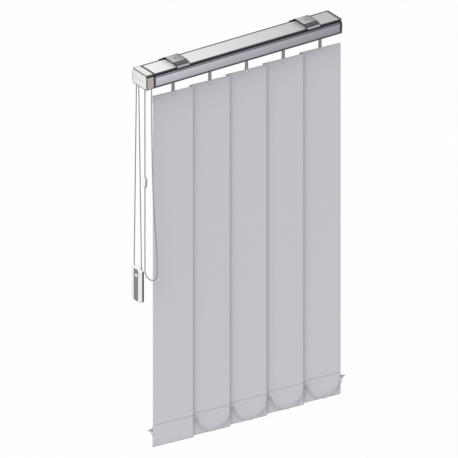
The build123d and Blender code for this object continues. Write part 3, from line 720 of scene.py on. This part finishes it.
def slat_surface(centre):
    """Points, faces and UV marks of one slat about its stem at x = centre.

    A point is x = centre + u cos a - w sin a, y = -u sin a - w cos a, z = h, where u runs across
    the cloth, w and h follow cloth_path and a is the rest tilt. At a distance d from a seam the
    front face dips by dip * exp(-(d / dip_width)^2). Between the pockets it ripples by
    wave * (1 + sin(2 pi k / wave_length) cos(pi u / slat_width)), where k is the height above
    the slat's foot, and the ripple fades out towards the seams. The notch is cut by pulling the
    heights of the middle columns below the button onto the arc h = button - sqrt(n^2 - u^2) and
    leaving out the faces above it.
    """
    size = sizes()
    dip, dip_width = 0.15 * MM, 0.8 * MM
    wave, wave_length, fade = 0.12 * MM, 245 * MM, 100 * MM
    offset, height, along = cloth_path()
    half, n = size.slat_width / 2, size.notch
    across = np.concatenate([np.linspace(-half, half, 33), np.linspace(-n, n, 13)])
    across = np.unique(np.round(across, 7))
    u, h = np.meshgrid(across, height)
    w = np.repeat(offset[:, None], across.size, 1)
    v = np.repeat(along[:, None], across.size, 1)
    facing = w > 0.6 * MM
    foot_seam, top_seam = SLAT_LOW.z + size.foot_pocket, SLAT_HIGH.z - size.top_pocket
    for seam in (foot_seam, top_seam):
        w = w - facing * dip * np.exp(-(((h - seam) / dip_width) ** 2))
    ripple = np.sin((h - SLAT_LOW.z) * 2 * pi / wave_length) * np.cos(u * pi / size.slat_width)
    between = np.clip((h - foot_seam) / fade, 0, 1) * np.clip((top_seam - h) / fade, 0, 1)
    w = w - facing * wave * (ripple + 1) * between
    button = SLAT_HIGH.z - size.button_drop
    base = button - NOTCH_STRETCH
    middle = abs(u) <= n + 1e-6
    arc = button - np.sqrt(np.clip(n**2 - u**2, 0, None))
    pulled = base + (h - base) * (arc - base) / (button - base)
    high = middle & (h > base)
    h = np.where(high, np.where(h <= button + 1e-6, pulled, arc), h)
    a = size.rest_tilt
    points = np.stack([centre + u * cos(a) - w * sin(a), -u * sin(a) - w * cos(a), h], -1)
    faces = grid_faces(height.size, across.size)
    mid_column = abs((across[:-1] + across[1:]) / 2) < n
    mid_row = (height[:-1] + height[1:]) / 2 > button
    kept = ~(mid_row[:, None] & mid_column[None, :])
    marks = np.stack([u, v], -1)
    return points.reshape(-1, 3), faces[kept], marks.reshape(-1, 2)


def merge(piece, outward=True):
    """Drops unused points, joins doubled ones and, if asked, turns the faces outwards."""
    work = bmesh.new()
    work.from_mesh(piece.data)
    unused = [point for point in work.verts if not point.link_faces]
    bmesh.ops.delete(work, geom=unused, context="VERTS")
    bmesh.ops.remove_doubles(work, verts=work.verts, dist=1e-6)
    if outward:
        bmesh.ops.recalc_face_normals(work, faces=work.faces)
    work.to_mesh(piece.data)
    work.free()


def smooth_route(name, points):
    """Points read from the NURBS spline whose control points are the route."""
    curve = bpy.data.curves.new(name + "_route", "CURVE")
    curve.dimensions = "3D"
    curve.resolution_u = 24
    spline = curve.splines.new("NURBS")
    spline.points.add(len(points) - 1)
    spline.points.foreach_set("co", np.column_stack([points, np.ones(len(points))]).ravel())
    spline.order_u = 3
    spline.use_endpoint_u = True
    holder = bpy.data.objects.new(name + "_route", curve)
    bpy.context.scene.collection.objects.link(holder)
    bpy.context.view_layer.update()
    mesh = bpy.data.meshes.new_from_object(holder)
    line = np.empty(len(mesh.vertices) * 3)
    mesh.vertices.foreach_get("co", line)
    bpy.data.objects.remove(holder)
    bpy.data.meshes.remove(mesh)
    return line.reshape(-1, 3)


def along_line(line, step):
    """Evenly spaced points along a line, its unit directions and the lengths at them."""
    lengths = np.concatenate([[0], np.cumsum(np.linalg.norm(np.diff(line, axis=0), axis=1))])
    count = max(8, int(round(lengths[-1] / step)))
    at = np.linspace(0, lengths[-1], count + 1)
    points = np.stack([np.interp(at, lengths, line[:, axis]) for axis in range(3)], -1)
    directions = np.gradient(points, axis=0)
    return points, directions / np.linalg.norm(directions, axis=1)[:, None], at


def swept(name, line, radius_at, material, body, step, side, sides):
    """A closed tube round a line: p(s, t) = c(s) + r(s) (n cos t + b sin t).

    c is the line, n the side direction made square to it, b their cross product and r(s) the
    radius at length s. The ends close to a pole. It gives the piece and the points that it follows.
    """
    points, forward, at = along_line(line, step)
    side = np.asarray(side, float)
    normal = side - (forward @ side)[:, None] * forward
    normal = normal / np.linalg.norm(normal, axis=1)[:, None]
    other = np.cross(forward, normal)
    radius = radius_at(at)
    radius[0] = radius[-1] = 0.0
    turn = np.linspace(0, 2 * pi, sides + 1)
    ring = normal[:, None] * np.cos(turn)[None, :, None] + other[:, None] * np.sin(turn)[None, :, None]
    surface = (points[:, None] + radius[:, None, None] * ring).reshape(-1, 3)
    marks = np.stack(np.broadcast_arrays(turn[None, :] / (2 * pi), at[:, None]), -1).reshape(-1, 2)
    faces = grid_faces(len(at), sides + 1).reshape(-1, 4)
    piece = mesh_object(name, surface, faces, marks, material, body)
    merge(piece)
    return piece, points


def beads(bead, pitch):
    """Radius of a string of beads: r(s) = max(string, sqrt(R^2 - d^2)), d from the nearest bead.

    The pitch is adjusted a little, so that a whole number of beads fits.
    """
    string = bead * 0.42

    def radius(at):
        """The radius at each length."""
        whole = at[-1] / max(1, round(at[-1] / pitch))
        d = (at + whole / 2) % whole - whole / 2
        return np.maximum(string, np.sqrt(np.clip(bead**2 - d**2, 0, None)))

    return radius


def plain(radius):
    """The same radius all along."""
    return lambda at: np.full(at.size, radius)


def dress(names, material):
    """Gives CAD nodes their finish."""
    for name in names:
        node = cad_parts[name]
        node.data.materials.clear()
        node.data.materials.append(material)


def nodes_like(*starts):
    """Names of the CAD nodes that start with one of these words."""
    return [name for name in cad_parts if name.startswith(starts)]


class BLIND_OT_stage(Operator):
    """Camera, soft lamp, room light and pale floor"""

    bl_idname = "blind.stage"
    bl_label = "Stage"

    def execute(self, context):
        scene, stage = context.scene, context.scene.blind_stage
        scene.view_settings.view_transform = "Standard"
        a, e = stage.azimuth, stage.elevation
        back = Vector((sin(a) * cos(e), -cos(a) * cos(e), sin(e)))
        camera = bpy.data.cameras.new("camera")
        camera.type = "ORTHO"
        camera.ortho_scale = stage.view_width
        camera.clip_end = 20.0
        eye = bpy.data.objects.new("camera", camera)
        eye.location = AIM + back * STAND_OFF
        eye.rotation_mode = "QUATERNION"
        eye.rotation_quaternion = (-back).to_track_quat("-Z", "Y")
        scene.collection.objects.link(eye)
        scene.camera = eye

        lamp = bpy.data.lights.new("soft_lamp", "SUN")
        lamp.energy = stage.lamp
        lamp.angle = radians(35)
        sun = bpy.data.objects.new("soft_lamp", lamp)
        sun.rotation_mode = "QUATERNION"
        sun.rotation_quaternion = LAMP_RAY.to_track_quat("-Z", "Y")
        scene.collection.objects.link(sun)

        world = bpy.data.worlds.new("room")
        world.use_nodes = True
        room = Nodes(world.node_tree)
        pale_light = {"Color": (0.97, 0.98, 1.0, 1.0), "Strength": stage.room}
        white = {"Color": (1.0, 1.0, 1.0, 1.0), "Strength": 1.0}
        light = room.node("ShaderNodeBackground", inputs=pale_light)
        backdrop = room.node("ShaderNodeBackground", inputs=white)
        chosen = room.node("ShaderNodeMixShader", inputs={0: room.background_ray(), 1: light, 2: backdrop})
        output = room.tree.nodes.new("ShaderNodeOutputWorld")
        room.feed(output.inputs["Surface"], chosen)
        scene.world = world

        ground = bpy.data.meshes.new("floor")
        signs = [(-1, -1), (1, -1), (1, 1), (-1, 1)]
        corners = [(i * FLOOR_HALF, j * FLOOR_HALF, -stage.floor_drop) for i, j in signs]
        ground.from_pydata(corners, [], [(0, 1, 2, 3)])
        floor = bpy.data.objects.new("floor", ground)
        scene.collection.objects.link(floor)
        pale = Finish("pale_floor")
        pale.finish((0.88, 0.88, 0.88), 0.9)
        matt = Value(pale, pale.shader.outputs[0])
        glow = pale.node("ShaderNodeEmission", inputs={"Strength": 1.0})
        blend = pale.node("ShaderNodeMixShader", inputs={0: pale.background_ray() * 0.9, 1: matt, 2: glow})
        pale.feed(pale.output.inputs["Surface"], blend)
        ground.materials.append(pale.material)
        return {"FINISHED"}


class BLIND_OT_tilt_chain(Operator):
    """Beaded tilt chain, from the connector round its free loop and over the sprocket"""

    bl_idname = "blind.tilt_chain"
    bl_label = "Tilt chain"

    def execute(self, context):
        size = sizes()
        radius = SPROCKET_POCKETS * size.chain_pitch / (2 * pi)
        x, y, z = SPROCKET_CENTRE
        front, back = y - radius, y + radius
        sleeve = (SLEEVE_LOW.z + SLEEVE_HIGH.z) / 2
        route = [
            (x, back, sleeve - 0.0010),
            (x, back, sleeve - 0.030),
            (x, back, -0.4150),
            (x, back, -0.4345),
            (-0.2163, -0.0051, -0.4435),
            (-0.2131, -0.0186, -0.4435),
            (-0.2110, -0.0270, -0.4345),
            (-0.2108, -0.0272, -0.4125),
            (-0.2114, -0.0266, -0.3795),
            (-0.2132, -0.0246, -0.3375),
            (-0.2156, -0.0226, -0.2925),
            (-0.2170, -0.0212, -0.2325),
            (-0.2178, -0.0199, -0.1575),
            (x, front, -0.0825),
            (x, front, z - radius),
            (x, front, z + radius),
            (x, back, z + radius),
            (x, back, z - radius),
            (x, back, -0.0600),
            (x, back, sleeve + 0.040),
            (x, back, sleeve + 0.0010),
        ]
        piece, path = swept(
            "tilt_chain_beads",
            smooth_route("tilt_chain", np.array(route)),
            beads(size.chain_bead / 2, size.chain_pitch),
            bead_plastic("chain_beads", finishes().chain),
            "headrail",
            step=0.36 * MM,
            side=(1, 0, 0),
            sides=14,
        )
        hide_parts("tilt_chain")
        return {"FINISHED"}


class BLIND_OT_traverse_cord(Operator):
    """Braided traverse cord below the rail, round the pulley of the cord weight"""

    bl_idname = "blind.traverse_cord"
    bl_label = "Traverse cord"

    def execute(self, context):
        size = sizes()
        # Where the cord's two strands leave the rail
        x, near, far = -0.2268, 0.011, 0.019
        exit_z = RAIL_LOW.z
        wheel = (PULLEY_LOW + PULLEY_HIGH) / 2
        r = CORD_TURN
        low_near, low_far = wheel.y - r, wheel.y + r
        route = [
            (x, near, exit_z),
            (x, near, exit_z - 0.012),
            (x, low_near, CASE_HIGH.z + 0.012),
            (x, low_near, wheel.z + r),
            (x, low_near, wheel.z - r),
            (x, low_far, wheel.z - r),
            (x, low_far, wheel.z + r),
            (x, low_far, CASE_HIGH.z + 0.012),
            (x, far, exit_z - 0.012),
            (x, far, exit_z),
        ]
        piece, path = swept(
            "traverse_cord_braid",
            smooth_route("traverse_cord", np.array(route)),
            plain(size.cord / 2),
            braid(),
            "headrail",
            step=1.2 * MM,
            side=(1, 0, 0),
            sides=14,
        )
        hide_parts("traverse_cord_loop")
        dress(["traverse_cord_in_rail"], moulded("cord_in_rail", finishes().cord, 0.8, 4000.0, 0.0001))
        return {"FINISHED"}


class BLIND_OT_link_chains(Operator):
    """Beaded linking chains in two rows at the foot of the slats"""

    bl_idname = "blind.link_chains"
    bl_label = "Linking chains"

    def execute(self, context):
        size = sizes()
        bead = size.link_bead / 2
        material = bead_plastic("link_beads", finishes().link)
        along, down = np.array(DROOP).T
        for name in nodes_like("front_chain", "rear_chain"):
            low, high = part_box(name)
            y = (low.y + high.y) / 2
            left, right, top = low.x + LINK_BALL, high.x - LINK_BALL, high.z - LINK_BALL
            sag = top - (low.z + bead)
            x, z = left + along * (right - left), top - down * sag
            route = np.column_stack([x, np.full(along.size, y), z])
            piece, path = swept(
                name + "_beads",
                smooth_route(name, route),
                beads(bead, size.link_pitch),
                material,
                name,
                step=0.3 * MM,
                side=(0, 1, 0),
                sides=12,
            )
            join_balls(piece, [end_ball(point, LINK_BALL) for point in (route[0], route[-1])])
            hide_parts(name)
            # The slats' pitch goes from 84.5 mm to 30.6 mm as they stack
            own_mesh(piece)
        return {"FINISHED"}


def end_ball(centre, radius):
    """A round end of a linking chain: p(s, t) = c + R (sin s cos t, sin s sin t, cos s)."""
    rows, columns = 11, 17
    s, t = np.meshgrid(np.linspace(0, pi, rows), np.linspace(0, 2 * pi, columns), indexing="ij")
    shell = np.stack([np.sin(s) * np.cos(t), np.sin(s) * np.sin(t), np.cos(s)], -1) * radius
    return (shell + np.asarray(centre)).reshape(-1, 3), grid_faces(rows, columns).reshape(-1, 4)


def join_balls(piece, balls):
    """Adds the end balls to the chain's own mesh."""
    work = bmesh.new()
    work.from_mesh(piece.data)
    for points, faces in balls:
        part = bpy.data.meshes.new("ball")
        part.from_pydata(points.tolist(), [], faces.tolist())
        part.uv_layers.new(name="UVMap")
        part.polygons.foreach_set("use_smooth", np.ones(len(part.polygons), bool))
        work.from_mesh(part)
        bpy.data.meshes.remove(part)
    bmesh.ops.remove_doubles(work, verts=work.verts, dist=1e-6)
    bmesh.ops.recalc_face_normals(work, faces=work.faces)
    work.to_mesh(piece.data)
    work.free()


class BLIND_OT_slats(Operator):
    """Fabric slats, folded and seamed into a pocket at each end"""

    bl_idname = "blind.slats"
    bl_label = "Slats"

    def execute(self, context):
        size = sizes()
        material = slat_cloth()
        cut = float(cloth_path()[2][-1])
        for number, name in enumerate(sorted(nodes_like("slat_")), 1):
            low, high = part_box(name)
            points, faces, marks = slat_surface((low.x + high.x) / 2)
            piece = mesh_object(name + "_cloth", points, faces, marks, material, f"vane_{number}")
            merge(piece, outward=False)
            wall = piece.modifiers.new("cloth", "SOLIDIFY")
            wall.thickness = size.cloth
            wall.offset = 0.0
            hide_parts(name)
        return {"FINISHED"}


class BLIND_OT_rail(Operator):
    """Finishes of the headrail, its end caps and its ceiling clips"""

    bl_idname = "blind.rail"
    bl_label = "Headrail"

    def execute(self, context):
        dress(["headrail"], coated_rail())
        dress(["control_end_cap"], cap_plastic())
        dress(["return_end_cap"], moulded("return_cap_plastic", finishes().return_cap, 0.4))
        dress(["ceiling_clip_left", "ceiling_clip_right"], spring_steel())
        return {"FINISHED"}


class BLIND_OT_running_gear(Operator):
    """Finishes of the rod, sprocket, pulleys, carriers and spacer links"""

    bl_idname = "blind.running_gear"
    bl_label = "Running gear"

    def execute(self, context):
        tone = finishes()
        dress(["tilt_rod"], metal("drawn_rod", (0.62, 0.63, 0.65), 0.3, (0.02, 1.0, 1.0)))
        dress(nodes_like("spacer_link"), metal("rolled_strip", (0.55, 0.56, 0.58), 0.32, (0.02, 1.0, 1.0)))
        dress(["guide_pulley_pin"], metal("ground_pin", (0.6, 0.6, 0.62), 0.28, (1.0, 0.05, 1.0)))
        wheels = [
            "chain_sprocket",
            "guide_pulley_near",
            "guide_pulley_far",
            "return_pulley",
            "cord_weight_pulley",
        ]
        dress(wheels, moulded("wheel_plastic", tone.gear, 0.35))
        dress(nodes_like("carrier_"), moulded("carrier_plastic", shade(tone.gear, 0.95), 0.45))
        return {"FINISHED"}


class BLIND_OT_stems(Operator):
    """Finishes of the stems, hangers and foot weights"""

    bl_idname = "blind.stems"
    bl_label = "Stems and inserts"

    def execute(self, context):
        tone = finishes()
        dress(nodes_like("stem_"), stem_plastic())
        dress(nodes_like("hanger_"), moulded("hanger_plastic", tone.button, 0.35))
        dress(nodes_like("weight_"), plate_plastic())
        return {"FINISHED"}


class BLIND_OT_controls(Operator):
    """Finishes of the cord weight and the chain connector"""

    bl_idname = "blind.controls"
    bl_label = "Cord weight"

    def execute(self, context):
        dress(["cord_weight_shell_left"], case_half("case_plastic", panel_and_button))
        dress(["cord_weight_shell_right"], case_half("inner_case_plastic", painted_shade_strip))
        dress(["chain_connector"], sleeve_plastic())
        return {"FINISHED"}


OPERATORS = (
    BLIND_OT_stage,
    BLIND_OT_tilt_chain,
    BLIND_OT_traverse_cord,
    BLIND_OT_link_chains,
    BLIND_OT_slats,
    BLIND_OT_rail,
    BLIND_OT_running_gear,
    BLIND_OT_stems,
    BLIND_OT_controls,
)


class BLIND_PT_panel(Panel):
    """Sizes, finishes and pieces of the blind"""

    bl_idname = "BLIND_PT_panel"
    bl_label = "Vertical blind"
    bl_space_type = "VIEW_3D"
    bl_region_type = "UI"
    bl_category = "Blind"

    def draw(self, context):
        """Lists the sizes, the colours and the stage, and one button for each operator."""
        layout = self.layout
        for group in (context.scene.blind_sizes, context.scene.blind_finishes, context.scene.blind_stage):
            box = layout.box()
            for name in group.bl_rna.properties.keys():
                if name not in ("rna_type", "name"):
                    box.prop(group, name)
        for operator in OPERATORS:
            layout.operator(operator.bl_idname)


CLASSES = (BlindSizes, BlindFinishes, BlindStage, *OPERATORS, BLIND_PT_panel)


def register():
    """Registers the classes and gives the scene their sizes, colours and stage."""
    for item in CLASSES:
        bpy.utils.register_class(item)
    bpy.types.Scene.blind_sizes = PointerProperty(type=BlindSizes)
    bpy.types.Scene.blind_finishes = PointerProperty(type=BlindFinishes)
    bpy.types.Scene.blind_stage = PointerProperty(type=BlindStage)


def unregister():
    """Takes away what register added."""
    del bpy.types.Scene.blind_stage
    del bpy.types.Scene.blind_finishes
    del bpy.types.Scene.blind_sizes
    for item in reversed(CLASSES):
        bpy.utils.unregister_class(item)


def main():
    """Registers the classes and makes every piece."""
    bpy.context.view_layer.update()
    register()
    bpy.ops.blind.stage()
    bpy.ops.blind.tilt_chain()
    bpy.ops.blind.traverse_cord()
    bpy.ops.blind.link_chains()
    bpy.ops.blind.slats()
    bpy.ops.blind.rail()
    bpy.ops.blind.running_gear()
    bpy.ops.blind.stems()
    bpy.ops.blind.controls()
    bpy.context.view_layer.update()


if __name__ == "__main__":
    main()
